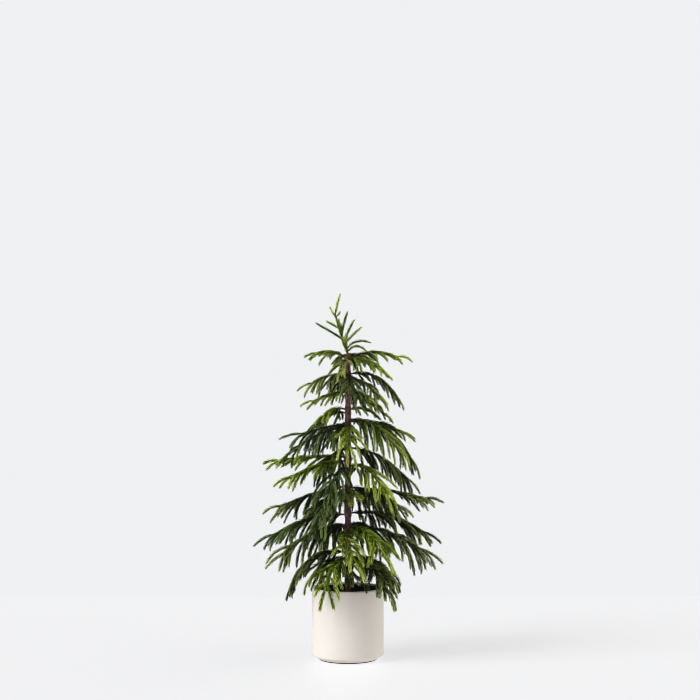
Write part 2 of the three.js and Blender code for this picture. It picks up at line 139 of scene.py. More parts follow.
# The lengths of needles along a stem and along a twig: shares of the way, and lengths there.
STEM_NEEDLES = ((0, 0.3, 1), (1.25, 1.1, 1))
TWIG_NEEDLES = ((0, 0.12, 0.75, 1), (0.7, 1, 0.92, 0.6))
# Needles on a short twig are smaller: their size is "least" plus the twig's length as a share of
# "full", and "most" where that is more.
TWIG_SIZE = {"least": 0.75, "full": 120 * MM, "most": 1.05}
BARE = {"stem_root": 2 * MM, "twig_root": 3 * MM, "twig_tip": 0.5 * MM}  # without needles
# How fresh the growth is, which is also painted shade that darkens the foliage toward the trunk:
# 0 at the trunk, and the first three at the tip of a stem. Along a twig it rises by "twig", and its
# needles' by "twig_needles".
FRESH_AND_LIT = {"stem": 0.8, "stem_needles": 0.55, "twig_root": 0.5, "twig": 0.4, "twig_needles": 0.5}
STEM_TINT, STEM_NEEDLE_TINT = 0.5, 0.4  # from 0 to 1; each twig has a tint of its own
ANY_TURN = 6.28  # a random turn lies between 0 and this, in radians

SWING = JOINTS["leader"]["range_deg"][1]  # degrees to either side, the same for every hinge
AXIS_GAP = 9.8 * MM  # between the middle lines of twigs on different fronds
POT_GAP = 7.5 * MM  # between a twig's middle line and the pot
REACH = 160 * MM  # twigs whose middles are further apart than this never meet
ROOM = 4000  # more than the number of twigs and pieces of stem in the tree


# ---- points, tubes and needles ------------------------------------------------------------

def unit(vectors):
    return vectors / np.linalg.norm(vectors, axis=-1, keepdims=True)


def heading(azimuth, elevation):
    """The direction that many degrees round from +X and above the horizontal."""
    a, e = math.radians(azimuth), math.radians(elevation)
    return np.array([math.cos(a) * math.cos(e), math.sin(a) * math.cos(e), math.sin(e)])


def rotated(points, centre, axis, degrees):
    """The points turned about an axis through the centre."""
    turn = math.radians(degrees)
    arm = points - centre
    along = np.outer(arm @ axis, axis)
    return centre + arm * math.cos(turn) + np.cross(axis, arm) * math.sin(turn) + along * (
        1 - math.cos(turn))


def path_frames(path):
    """Tangents and two normals at each point of a path."""
    tangents = unit(np.gradient(path, axis=0))
    spine = unit(path[-1] - path[0])
    is_steep = abs(spine[2]) >= 0.9
    guide = np.array([1.0, 0.0, 0.0]) if is_steep else np.array([0.0, 0.0, 1.0])
    across = unit(np.cross(guide, tangents))
    return tangents, across, np.cross(tangents, across)


def along_path(path, distances):
    """Points, tangents and normals at distances along a path."""
    steps = np.linalg.norm(np.diff(path, axis=0), axis=1)
    marks = np.concatenate([[0], np.cumsum(steps)])
    placed = []
    for values in (path, *path_frames(path)):
        placed.append(np.stack([np.interp(distances, marks, values[:, k]) for k in range(3)], 1))
    return placed[0], unit(placed[1]), unit(placed[2]), unit(placed[3])


def path_length(path):
    return float(np.linalg.norm(np.diff(path, axis=0), axis=1).sum())


def smooth_path(points, steps):
    """A Catmull-Rom curve through the points, with evenly spaced steps."""
    p = np.vstack([2 * points[0] - points[1], points, 2 * points[-1] - points[-2]])
    fine = []
    for i in range(1, len(p) - 2):
        for t in np.arange(0, 1, 0.1):
            fine.append(0.5 * (2 * p[i] + (p[i + 1] - p[i - 1]) * t
                               + (2 * p[i - 1] - 5 * p[i] + 4 * p[i + 1] - p[i + 2]) * t**2
                               + (3 * p[i] - p[i - 1] - 3 * p[i + 1] + p[i + 2]) * t**3))
    fine = np.array([*fine, points[-1]])
    return along_path(fine, np.linspace(0, path_length(fine), steps + 1))[0]


class Growth:
    """The vertices, triangles and per-vertex values of one piece of foliage.

    Each vertex holds three values from 0 to 1: its twig's tint, with painted light added on needles
    that face up and away from the trunk; how far it is out along its needle, whose root the material
    darkens as painted shade; and how fresh the growth is, from the trunk to the tips, which is also
    painted shade that darkens the foliage toward the trunk.
    """

    def __init__(self):
        self.points, self.triangles, self.values, self.slots = [], [], [], []
        self.count = 0

    def add(self, points, triangles, values, slot):
        self.points.append(points)
        self.triangles.append(triangles + self.count)
        self.values.append(np.broadcast_to(values, points.shape))
        self.slots.append(np.full(len(triangles), slot))
        self.count += len(points)

    def tube(self, path, radii, sides, tint, fresh_and_lit, slot):
        """A closed round tube with pointed ends."""
        _, across, up = path_frames(path)
        angles = np.arange(sides) * 2 * math.pi / sides
        ring = (across[:, None] * np.cos(angles)[None, :, None]
                + up[:, None] * np.sin(angles)[None, :, None])
        points = (path[:, None] + ring * radii[:, None, None]).reshape(-1, 3)
        rings = np.arange(len(path) - 1)[:, None] * sides
        here, after = np.arange(sides), (np.arange(sides) + 1) % sides
        a, b = rings + here, rings + after
        sheets = [np.stack([a, b, b + sides], -1), np.stack([a, b + sides, a + sides], -1)]
        last = (len(path) - 1) * sides
        root, tip = np.full(sides, len(points)), np.full(sides, len(points) + 1)
        caps = [np.stack([root, after, here], -1), np.stack([tip, last + here, last + after], -1)]
        points = np.vstack([points, path[0], path[-1]])
        grow = np.concatenate([np.repeat(fresh_and_lit, sides), [fresh_and_lit[0], fresh_and_lit[-1]]])
        values = np.stack([np.full(len(points), tint), np.zeros(len(points)), grow], 1)
        triangles = np.concatenate([sheet.reshape(-1, 3) for sheet in sheets + caps])
        self.add(points, triangles, values, slot)

    def needles(self, path, start, end, core, lengths, fresh_and_lit, tint, chance, slot):
        """Needles in a spiral along a path, each a bent blade of three sides.

        core, lengths and the freshness profile are profiles along the path: shares of the way and the
        path's radius, the needles' length and how fresh they are there; low freshness is painted shade
        toward the trunk.
        """
        count = int((end - start) / NEEDLE["spacing"])
        if count < 1:
            return
        share = (np.arange(count) + 0.5) / count
        middle, along, across, up = along_path(path, start + share * (end - start))
        turn = np.radians(NEEDLE["turn"]) * np.arange(count) + chance.uniform(0, ANY_TURN)
        turn += chance.normal(0, NEEDLE["turn_change"], count)
        out = across * np.cos(turn)[:, None] + up * np.sin(turn)[:, None]
        side = np.cross(along, out)
        length = np.interp(share, *lengths) * chance.normal(1, NEEDLE["length_change"], count)
        tapering = NEEDLE["tapering"]
        width = NEEDLE["width"] * (1 - tapering + tapering * length / NEEDLE["length"])
        open_angle = np.radians(NEEDLE["open"] + chance.normal(0, NEEDLE["angle_change"], count))
        close_angle = np.radians(NEEDLE["close"] + chance.normal(0, NEEDLE["angle_change"], count))
        lean = along * np.cos(open_angle)[:, None] + out * np.sin(open_angle)[:, None]
        bent = along * np.cos(close_angle)[:, None] + out * np.sin(close_angle)[:, None]
        root = middle + out * (np.interp(share, *core) * NEEDLE["depth"])[:, None]
        elbow = root + lean * (NEEDLE["elbow"] * length)[:, None]
        tip = elbow + bent * ((1 - NEEDLE["elbow"]) * length)[:, None]
        points = np.zeros((count, 7, 3))
        for k in range(3):
            angle = math.radians(90 + 120 * k)
            ring = side * math.cos(angle) + NEEDLE["flatness"] * out * math.sin(angle)
            points[:, k] = root + ring * (width * NEEDLE["root_width"])[:, None]
            points[:, k + 3] = elbow + ring * width[:, None]
        points[:, 6] = tip
        blade = []  # points 0 to 2 are its root, 3 to 5 its elbow and 6 its tip
        for k in range(3):
            n = (k + 1) % 3
            blade += [[k, n, n + 3], [k, n + 3, k + 3], [k + 3, n + 3, 6]]
        blade.append([0, 2, 1])
        triangles = (np.array(blade)[None] + 7 * np.arange(count)[:, None, None]).reshape(-1, 3)
        # Painted light: needles that face up and away from the trunk get a lighter tint, and the rest a darker
        # one.
        outward = (unit(middle * [1, 1, 0] + 1e-9) * out).sum(1)
        painted_light = outward * NEEDLE["outward"] + out[:, 2] * NEEDLE["upward"]
        tints_and_painted_light = tint + NEEDLE["painted_light"] * painted_light + chance.normal(0, NEEDLE["tint_change"], count)
        values = np.zeros((count, 7, 3))
        values[..., 0] = np.clip(tints_and_painted_light, 0, 1)[:, None]
        values[..., 1] = np.array([0, 0, 0, 0.5, 0.5, 0.5, 1])  # root, elbow and tip
        values[..., 2] = np.interp(share, *fresh_and_lit)[:, None]
        self.add(points.reshape(-1, 3), triangles, values.reshape(-1, 3), slot)

    def piece(self, name, materials):
        """The piece of foliage as an object with these materials."""
        mesh = bpy.data.meshes.new(name)
        points, triangles = np.vstack(self.points), np.vstack(self.triangles)
        mesh.from_pydata(points.tolist(), [], triangles.tolist())
        mesh.polygons.foreach_set("material_index", np.concatenate(self.slots).astype(np.int32))
        mesh.polygons.foreach_set("use_smooth", np.ones(len(triangles), bool))
        growth = mesh.attributes.new("growth", "FLOAT_VECTOR", "POINT")
        growth.data.foreach_set("vector", np.vstack(self.values).astype(np.float32).ravel())
        for material in materials:
            mesh.materials.append(material)
        thing = bpy.data.objects.new(name, mesh)
        bpy.context.scene.collection.objects.link(thing)
        return thing


# ---- where the stems and twigs go ---------------------------------------------------------

heights = [joint["pos_m"][2] for node, joint in JOINTS.items() if node != "leader"]
WHORL_SPAN = (min(heights), max(heights))


def either_way(chance, amount):
    """A random value from -amount to amount."""
    return amount * chance.uniform(-1, 1)


def frond_plan(name, values):
    """The frond's stem, an arch from its hinge, and what its twigs and needles need."""
    joint = JOINTS["frond_" + name]
    length, rise, fall, bend, twig, droop = values
    axis = np.array(joint["axis"])
    azimuth = math.degrees(math.atan2(axis[1], axis[0])) + 90
    points = [np.array(joint["pos_m"])]
    step = length * MM / STEM["steps"]
    for i in range(STEM["steps"]):
        share = (i + 0.5) / STEM["steps"]
        course = heading(azimuth + bend * share, rise + (fall - rise) * share)
        points.append(points[-1] + course * step)
    whorl, place = int(name[0]), "abcdefghi".index(name[1])
    pitch, lowest, size = HABIT[SLOTS["frond_" + name]]
    scale = np.interp(points[0][2], WHORL_SPAN, (LOWER, UPPER))
    return {
        "name": "frond_" + name, "axis": axis, "azimuth": azimuth, "rise": rise, "fall": fall,
        "bend": bend, "length": length * MM, "twig": twig * MM, "droop": droop,
        "path": np.array(points), "pitch": pitch * scale, "lowest": lowest, "size": size * scale,
        "chance": np.random.default_rng(100 * whorl + 10 * place),
    }


def leader_plan():
    joint = JOINTS["leader"]
    path = smooth_path(np.array(LEADER_ROUTE, float) * MM, STEM["steps"])
    return {
        "name": "leader", "axis": np.array(joint["axis"]), "path": path,
        "length": path_length(path), "size": LEADER_SIZE, "chance": np.random.default_rng(7),
    }


def frond_twigs(plan):
    """Twigs in rows of three, on both sides and below, and one at the stem's tip."""
    chance = plan["chance"]
    room = plan["length"] * (TWIG["last"] - TWIG["first"])
    rows = max(2, round(room / plan["pitch"]))
    twigs = []
    for i in range(rows):
        for side in (-1, 0, 1):
            if side == 0 and i > plan["lowest"] * rows:
                continue
            moved = side * TWIG["stagger"] + either_way(chance, TWIG["place"])
            along = (i + 0.5 + moved) / rows
            share = TWIG["first"] + (TWIG["last"] - TWIG["first"]) * along
            azimuth = plan["azimuth"] + plan["bend"] * share
            elevation = plan["rise"] + (plan["fall"] - plan["rise"]) * share
            spread = TWIG["widest"] + (TWIG["narrowest"] - TWIG["widest"]) * along
            turn = math.radians(spread + either_way(chance, TWIG["turn"]))
            aside = side + either_way(chance, TWIG["aside"])
            direction = heading(azimuth, elevation) * math.cos(turn)
            direction += heading(azimuth + 90, 0) * aside * math.sin(turn)
            hang = plan["droop"] * (TWIG["sag"] if side else TWIG["lower_sag"])
            hang *= 1 + either_way(chance, TWIG["hang"])
            direction[2] -= hang * (1 - TWIG["sag_fade"] * along)
            fullness = 1 - TWIG["near"] * (1 - along) ** 2 - TWIG["far"] * along ** 3
            length = plan["twig"] * fullness * (1 + either_way(chance, TWIG["length"]))
            start = along_path(plan["path"], [share * plan["length"]])[0][0]
            twigs.append({"start": start, "direction": unit(direction), "length": length,
                          "share": share, "size": plan["size"]})
    tip_azimuth = plan["azimuth"] + plan["bend"] + either_way(chance, TWIG["tip_swerve"])
    direction = heading(tip_azimuth, plan["fall"] + TWIG["tip_lift"])
    twigs.append({"start": plan["path"][-1], "direction": direction, "share": 1,
                  "length": plan["twig"] * TWIG["tip_length"], "size": plan["size"]})
    return twigs


def leader_twigs(plan):
    return [{"start": along_path(plan["path"], [share * plan["length"]])[0][0],
             "direction": heading(azimuth, elevation), "length": length * MM, "share": share,
             "arch": arch, "size": LEADER_SIZE}
            for share, azimuth, elevation, length, arch in LEADER_TWIGS]


# ---- clearance while the fronds swing -----------------------------------------------------

# One frond swings past its neighbour at rest, or both swing the same way.
SWINGS = (-SWING, 0, SWING)
SWING_PAIRS = ((0, 1), (1, 0), (1, 1), (2, 1), (1, 2), (0, 0), (2, 2))


def swung(plan, ends):
    """The two ends of a twig with its frond at each swing, in an array of swing, end, xyz."""
    hinge = plan["path"][0]
    return np.stack([rotated(ends, hinge, plan["axis"], angle) for angle in SWINGS])


def segment_gaps(a0, a1, b0, b1):
    """Shortest distances between segments a and b, pair by pair."""
    u, v, w = a1 - a0, b1 - b0, a0 - b0
    uu, uv, vv = (u * u).sum(-1), (u * v).sum(-1), (v * v).sum(-1)
    uw, vw = (u * w).sum(-1), (v * w).sum(-1)
    cross = uu * vv - uv * uv
    is_skew = cross > 1e-15
    s = np.where(is_skew, np.clip((uv * vw - vv * uw) / np.where(is_skew, cross, 1), 0, 1), 0)
    t = np.clip((uv * s + vw) / vv, 0, 1)
    s = np.clip((uv * t - uw) / uu, 0, 1)
    return np.linalg.norm(a0 + u * s[..., None] - b0 - v * t[..., None], axis=-1)


class Thicket:
    """Every stem and twig placed so far, through its swing."""

    def __init__(self, room):
        self.ends = np.zeros((len(SWINGS), room, 2, 3))
        self.owners = np.full(room, -1)
        self.count = 0

    def add(self, ends, owner):
        self.ends[:, self.count] = ends
        self.owners[self.count] = owner
        self.count += 1

    def is_clear(self, ends, owner):
        """Whether the owner's twig stays AXIS_GAP from those of the others as they swing."""
        near = self.owners[:self.count] != owner
        centre = ends[1].mean(0)
        middles = self.ends[1, :self.count].mean(1)
        near &= np.linalg.norm(middles - centre, axis=1) < REACH
        others = self.ends[:, :self.count][:, near]
        if not others.shape[1]:
            return True
        for mine, theirs in SWING_PAIRS:
            gaps = segment_gaps(ends[mine, 0], ends[mine, 1],
                                others[theirs, :, 0], others[theirs, :, 1])
            if gaps.min() < AXIS_GAP:
                return False
        return True


pot_low, pot_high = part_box("pot")


def is_clear_of_pot(ends):
    """Whether points along a twig stay above the rim or outside the wall at each swing."""
    shares = np.linspace(0, 1, 6)[:, None, None]
    points = ends[:, 0] * (1 - shares) + ends[:, 1] * shares
    above = points[..., 2] > pot_high.z + POT_GAP
    outside = np.hypot(points[..., 0], points[..., 1]) > pot_high.x + POT_GAP
    return bool((above | outside).all())


def trimmed(thicket, plan, owner, twig):
    """The twig, shortened until it is clear of the pot and the other fronds, or None."""
    length = twig["length"]
    while length > TWIG["shortest"]:
        ends = np.array([twig["start"], twig["start"] + twig["direction"] * length])
        moved = swung(plan, ends)
        if is_clear_of_pot(moved) and thicket.is_clear(moved, owner):
            thicket.add(moved, owner)
            return {**twig, "length": length}
        length *= TWIG["trim"]
    return None


def plan_tree():
    """The plans of the leader and all fronds, with the twigs that keep clear of each other."""
    plans = [leader_plan()] + [frond_plan(name, values) for name, values in FRONDS.items()]
    thicket = Thicket(ROOM)
    stem_marks = range(0, STEM["steps"] + 1, STEM["steps"] // 4)  # the tip's twig has the rest
    for owner, plan in enumerate(plans):
        marks = [plan["path"][i] for i in stem_marks]
        for start, end in zip(marks, marks[1:]):
            thicket.add(swung(plan, np.array([start, end])), owner)
    for owner, plan in enumerate(plans):
        wanted = leader_twigs(plan) if plan["name"] == "leader" else frond_twigs(plan)
        kept = [trimmed(thicket, plan, owner, twig) for twig in wanted]
        plan["twigs"] = [twig for twig in kept if twig]
    return plans


# ---- materials ----------------------------------------------------------------------------

def new_material(name, roughness):
    """A material, its node tree and its shader."""
    material = bpy.data.materials.new(name)
    material.use_nodes = True
    shader = material.node_tree.nodes["Principled BSDF"]
    shader.inputs["Roughness"].default_value = roughness
    return material, material.node_tree, shader


def add_node(tree, kind, **values):
    """A node with its properties and, where a name is an input's, its default values."""
    node = tree.nodes.new("ShaderNode" + kind)
    for key, value in values.items():
        if key in node.inputs:
            node.inputs[key].default_value = value
        else:
            setattr(node, key, value)
    return node


def noise(tree, scale, detail=3, roughness=0.5, source=None):
    """Noise over the source's coordinates, or else the piece's own."""
    node = add_node(tree, "TexNoise", Scale=scale, Detail=detail, Roughness=roughness)
    coords = source or add_node(tree, "TexCoord").outputs["Object"]
    tree.links.new(coords, node.inputs["Vector"])
    return node.outputs["Fac"]


def ramp(tree, value, stops):
    """A colour ramp; stops are (place, colour)."""
    node = tree.nodes.new("ShaderNodeValToRGB")
    elements = node.color_ramp.elements
    while len(elements) < len(stops):
        elements.new(0.5)
    for element, (place, colour) in zip(elements, stops):
        element.position = place
        element.color = (*colour, 1)
    tree.links.new(value, node.inputs["Fac"])
    return node.outputs["Color"]


def maths(tree, operation, a, b):
    """The result of an operation on a and b, which are numbers or outputs of nodes."""
    node = add_node(tree, "Math", operation=operation)
    for socket, value in zip(node.inputs, (a, b)):
        if isinstance(value, (int, float)):
            socket.default_value = value
        else:
            tree.links.new(value, socket)
    return node.outputs["Value"]


def weighted(tree, parts, base=None):
    """The sum of base and of each (value, weight) part."""
    total = base
    for value, weight in parts:
        part = maths(tree, "MULTIPLY", value, weight)
        total = part if total is None else maths(tree, "ADD", total, part)
    return total


def add_bump(tree, shader, height, strength, distance):
    node = add_node(tree, "Bump", Strength=strength, Distance=distance)
    tree.links.new(height, node.inputs["Height"])
    tree.links.new(node.outputs["Normal"], shader.inputs["Normal"])


def growth_values(tree):
    """The tint, reach and age that each piece of foliage holds; the tint carries painted light, and the
    age painted shade toward the trunk.
    """
    node = add_node(tree, "Attribute", attribute_name="growth")
    split = tree.nodes.new("ShaderNodeSeparateXYZ")
    tree.links.new(node.outputs["Vector"], split.inputs["Vector"])
    return split.outputs["X"], split.outputs["Y"], split.outputs["Z"]


def needle_material(name, deep, middle, fresh_and_lit):
    """Soft moulded plastic, lighter toward the tips of needles, twigs and fronds: painted shade at the
    needles' roots and toward the trunk, fresher growth at the tips, and painted light where needles
    face up and away from the trunk.
    """
    material, tree, shader = new_material(name, 0.5)
    tint, reach, age_and_shade = growth_values(tree)
    drift = noise(tree, 34, 3)
    # Painted shade: reach darkens each needle toward its root and age darkens the growth toward the trunk; the
    # tint carries painted light.
    light = weighted(tree, [(reach, 0.32), (age_and_shade, 0.3), (tint, 0.36), (drift, 0.2)])
    colour = ramp(tree, light, [(0.3, deep), (0.58, middle), (0.84, fresh_and_lit)])
    tree.links.new(colour, shader.inputs["Base Color"])
    speck = noise(tree, 900, 2)
    tree.links.new(weighted(tree, [(speck, 0.2)], 0.34), shader.inputs["Roughness"])
    add_bump(tree, shader, speck, 0.25, 0.0003)
    shader.inputs["Specular IOR Level"].default_value = 0.2
    return material


def stem_material():
    material, tree, shader = new_material("stem_green_brown", 0.6)
    _, _, age_and_shade = growth_values(tree)
    grain = noise(tree, 260, 4)
    light = weighted(tree, [(age_and_shade, 0.8), (grain, 0.4)])
    colour = ramp(tree, light, [(0.15, (0.075, 0.035, 0.02)), (0.5, (0.06, 0.055, 0.018)),
                                (1.0, (0.09, 0.14, 0.03))])
    tree.links.new(colour, shader.inputs["Base Color"])
    add_bump(tree, shader, grain, 0.5, 0.0006)
    return material


# ---- turned pieces ------------------------------------------------------------------------

def arc(centre_r, centre_z, radius, start, end, steps=8):
    """(radius, height) points on an arc of an outline, from one angle to another."""
    angles = np.radians(np.linspace(start, end, steps + 1))
    return [(centre_r + radius * math.cos(a), centre_z + radius * math.sin(a)) for a in angles]


def turned(name, outline, sides, material, shape=None):
    """A closed piece turned about the trunk's axis from (radius, height) points.

    An outline starts and ends at radius 0, where its points are poles, or else it closes on
    itself. shape(r, z, angle) may move each point.
    """
    mesh = bpy.data.meshes.new(name)
    points, rings = [], []
    for radius, height in outline:
        if radius < 1e-9:
            rings.append([len(points)] * sides)
            points.append((0, 0, height))
            continue
        rings.append(list(range(len(points), len(points) + sides)))
        for k in range(sides):
            angle = 2 * math.pi * k / sides
            r, z = (radius, height) if shape is None else shape(radius, height, angle)
            points.append((r * math.cos(angle), r * math.sin(angle), z))
    faces = []
    has_poles = outline[0][0] < 1e-9
    for i in range(len(rings) - 1 if has_poles else len(rings)):
        low, high = rings[i], rings[(i + 1) % len(rings)]
        for k in range(sides):
            n = (k + 1) % sides
            corners = dict.fromkeys([low[k], low[n], high[n], high[k]])  # three beside a pole
            faces.append(list(corners))
    mesh.from_pydata(points, [], faces)
    mesh.polygons.foreach_set("use_smooth", np.ones(len(faces), bool))
    mesh.materials.append(material)
    thing = bpy.data.objects.new(name, mesh)
    bpy.context.scene.collection.objects.link(thing)
    return thing


def stands_for(piece, node):
    """The piece takes the place of the CAD node and its body."""
    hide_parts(node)
    body = next(name for name, nodes in frame["record"]["behaviour"]["bodies"].items()
                if node in nodes)
    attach(piece, body)


# ---- camera, lights and floor -------------------------------------------------------------

CAMERA = {"x": 0.005, "distance": 4.13, "height": 0.771, "lens": 85}


def make_camera():
    data = bpy.data.cameras.new("camera")
    data.lens = CAMERA["lens"]
    camera = bpy.data.objects.new("camera", data)
    camera.location = (CAMERA["x"], -CAMERA["distance"], CAMERA["height"])
    camera.rotation_euler = (math.pi / 2, 0, 0)
    bpy.context.scene.collection.objects.link(camera)
    bpy.context.scene.camera = camera


def sun(name, azimuth, elevation, strength, softness, colour=(1, 1, 1)):
    """Even light from that direction; softness is the angle that its source covers."""
    data = bpy.data.lights.new(name, "SUN")
    data.energy = strength
    data.angle = math.radians(softness)
    data.color = colour
    lamp = bpy.data.objects.new(name, data)
    lamp.rotation_euler = (math.radians(90 - elevation), 0, math.radians(azimuth + 90))
    bpy.context.scene.collection.objects.link(lamp)


def make_world():
    """Weak light from all round, and a pale wall that only the camera sees."""
    world = bpy.data.worlds.new("studio")
    bpy.context.scene.world = world
    world.use_nodes = True
    tree = world.node_tree
    sky = tree.nodes["Background"]
    sky.inputs["Color"].default_value = (0.94, 0.95, 1.0, 1)
    sky.inputs["Strength"].default_value = 0.09
    wall = add_node(tree, "Background", Color=(0.885, 0.89, 0.905, 1), Strength=1.0)
    ray = tree.nodes.new("ShaderNodeLightPath")
    mix = tree.nodes.new("ShaderNodeMixShader")
    tree.links.new(ray.outputs["Is Camera Ray"], mix.inputs["Fac"])
    tree.links.new(sky.outputs["Background"], mix.inputs[1])
    tree.links.new(wall.outputs["Background"], mix.inputs[2])
    tree.links.new(mix.outputs["Shader"], tree.nodes["World Output"].inputs["Surface"])


def make_floor():
    """A pale floor that gives most of its own light, so that shadows on it stay faint."""
    mesh = bpy.data.meshes.new("floor")
    back, side, front = 1.05, 4.0, -4.5
    corners = [(-side, front, 0), (side, front, 0), (side, back, 0), (-side, back, 0)]
    mesh.from_pydata(corners, [], [(0, 1, 2, 3)])
    material, tree, shader = new_material("floor_white", 0.6)
    shader.inputs["Base Color"].default_value = (0.24, 0.24, 0.242, 1)
    shader.inputs["Emission Color"].default_value = (0.99, 0.99, 1.0, 1)
    shader.inputs["Emission Strength"].default_value = 0.67
    mesh.materials.append(material)
    floor = bpy.data.objects.new("floor", mesh)
    bpy.context.scene.collection.objects.link(floor)


make_camera()
make_world()
make_floor()
sun("key", azimuth=208, elevation=38, strength=2.82, softness=34, colour=(0.955, 0.975, 0.995))
sun("above", azimuth=262, elevation=72, strength=0.6, softness=60)
sun("right", azimuth=5, elevation=28, strength=1.45, softness=80, colour=(1, 0.97, 0.92))
bpy.context.scene.view_settings.view_transform = "Standard"
bpy.context.scene.view_settings.gamma = 0.88

# ---- pot and trunk ------------------------------------------------------------------------

# "foot" is a radius, "step" is the ledge above the foot, and "edge", "rim", "foot_edge" and
# "inner_edge" are roundings.
POT = {"wall": 9 * MM, "floor": 10 * MM, "foot": 75 * MM, "foot_height": 7 * MM,
       "edge": 5 * MM, "rim": 4.4 * MM, "foot_edge": 2 * MM, "step": 0.6 * MM,
       "inner_edge": 4 * MM, "rows": 12, "sides": 144, "wide_swell": 0.12 * MM,
       "narrow_swell": 0.08 * MM}
LINER = {"wall": 1.6 * MM, "foot": 66 * MM, "foot_edge": 1 * MM, "lip": 1.5 * MM,
         "lip_under": 2.2 * MM, "lip_side": 1.8 * MM, "outer_rim": 1 * MM, "inner_rim": 0.8 * MM,
         "sides": 96}
SOIL = {"hole": 7.8 * MM, "bevel": 1.2 * MM, "bevel_drop": 0.5 * MM, "rows": 44, "sides": 120,
        "waves": 10, "height": 1.1 * MM, "fade": 6 * MM, "least": 0.15}
# The bark's winding has a raised edge ("overlap") and a groove; knots swell it at the whorls.
BARK = {"bottom": 8 * MM, "top": 6.2 * MM, "hole": 3.3 * MM, "winding": 6.5 * MM,
        "overlap": 0.5 * MM, "groove": 0.25 * MM, "groove_width": 0.1, "lump": 0.2 * MM,
        "knot": 1.7 * MM, "knot_width": 7 * MM, "rows": 520, "sides": 32}
PAD = {"edge": 0.6 * MM, "sides": 96}


def make_pot():
    material, tree, shader = new_material("pot_cream_ceramic", 0.62)
    cloud = noise(tree, 9, 4)
    colour = ramp(tree, cloud, [(0.3, (0.80, 0.745, 0.68)), (0.7, (0.84, 0.785, 0.72))])
    tree.links.new(colour, shader.inputs["Base Color"])
    fine = noise(tree, 420, 4)
    tree.links.new(weighted(tree, [(fine, 0.2)], 0.5), shader.inputs["Roughness"])
    add_bump(tree, shader, fine, 0.12, 0.0004)
    radius, base, top = pot_high.x, pot_low.z, pot_high.z
    inner = radius - POT["wall"]
    floor = base + POT["floor"]
    body = base + POT["foot_height"]
    foot, foot_edge, step = POT["foot"], POT["foot_edge"], POT["step"]
    edge, rim, inner_edge, rows = POT["edge"], POT["rim"], POT["inner_edge"], POT["rows"]
    outline = [(0, base), (foot / 2, base)]
    outline += arc(foot - foot_edge, base + foot_edge, foot_edge, -90, 0, 4)
    outline += [(foot, body - step), (foot + step, body)]
    outline += arc(radius - edge, body + edge, edge, -90, 0)
    outline += [(radius, body + (top - body) * k / rows) for k in range(1, rows)]
    outline += arc(radius - rim, top - rim, rim, 0, 90)
    outline += arc(inner + rim, top - rim, rim, 90, 180)
    outline += [(inner, floor + inner_edge), (inner - inner_edge, floor), (0, floor)]

    def uneven(r, z, angle):
        """The outer wall isn't perfectly round."""
        swell = POT["wide_swell"] * math.sin(2 * angle + 9 * z)
        swell += POT["narrow_swell"] * math.sin(5 * angle + 31 * z)
        return r + (swell if r > inner + MM else 0), z

    stands_for(turned("pot_shell", outline, POT["sides"], material, uneven), "pot")


def make_liner():
    material, tree, shader = new_material("liner_black_plastic", 0.55)
    fine = noise(tree, 300, 3)
    colour = ramp(tree, fine, [(0.3, (0.011, 0.011, 0.011)), (0.8, (0.022, 0.021, 0.02))])
    tree.links.new(colour, shader.inputs["Base Color"])
    add_bump(tree, shader, fine, 0.1, 0.0003)
    low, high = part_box("liner_pot")
    wall, foot, foot_edge = LINER["wall"], LINER["foot"], LINER["foot_edge"]
    outer, inner = LINER["outer_rim"], LINER["inner_rim"]
    lip = high.x - LINER["lip"]
    outline = [(0, low.z), (foot - foot_edge, low.z), (foot, low.z + foot_edge),
               (lip, high.z - LINER["lip_under"]), (high.x, high.z - LINER["lip_side"])]
    outline += arc(high.x - outer, high.z - outer, outer, 0, 90, 4)
    outline += arc(lip - wall + inner, high.z - inner, inner, 90, 180, 3)
    outline += [(foot - wall, low.z + wall), (0, low.z + wall)]
    stands_for(turned("liner", outline, LINER["sides"], material), "liner_pot")


def make_soil():
    material, tree, shader = new_material("soil_dark_crumb", 0.95)
    crumb = noise(tree, 160, 6, 0.7)
    colour = ramp(tree, crumb, [(0.3, (0.006, 0.005, 0.004)), (0.6, (0.022, 0.016, 0.011)),
                                (0.85, (0.06, 0.042, 0.028))])
    tree.links.new(colour, shader.inputs["Base Color"])
    add_bump(tree, shader, crumb, 0.8, 0.003)
    low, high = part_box("faux_soil")
    chance = np.random.default_rng(3)
    waves = chance.uniform(0, ANY_TURN, (SOIL["waves"], 3))
    edge, hole, rows = high.x, SOIL["hole"], SOIL["rows"]

    def lumpy(r, z, angle):
        """The top face is raised and sunk by waves of many lengths, less so at its edge."""
        if z < high.z - MM:
            return r, z
        x, y = r * math.cos(angle), r * math.sin(angle)
        lift = 0.0
        for k, (a, b, c) in enumerate(waves):
            pitch = 60 + 55 * k
            lift += math.sin(pitch * x + a) * math.sin(pitch * y + b) * math.sin(40 * (x + y) + c)
        return r, z + lift * SOIL["height"] * min(1, (edge - r) / SOIL["fade"] + SOIL["least"])

    outline = [(hole, low.z), (edge - SOIL["bevel"], low.z), (edge, high.z - SOIL["bevel_drop"])]
    outline += [(edge + (hole - edge) * k / rows, high.z) for k in range(1, rows + 1)]
    stands_for(turned("soil", outline, SOIL["sides"], material, lumpy), "faux_soil")


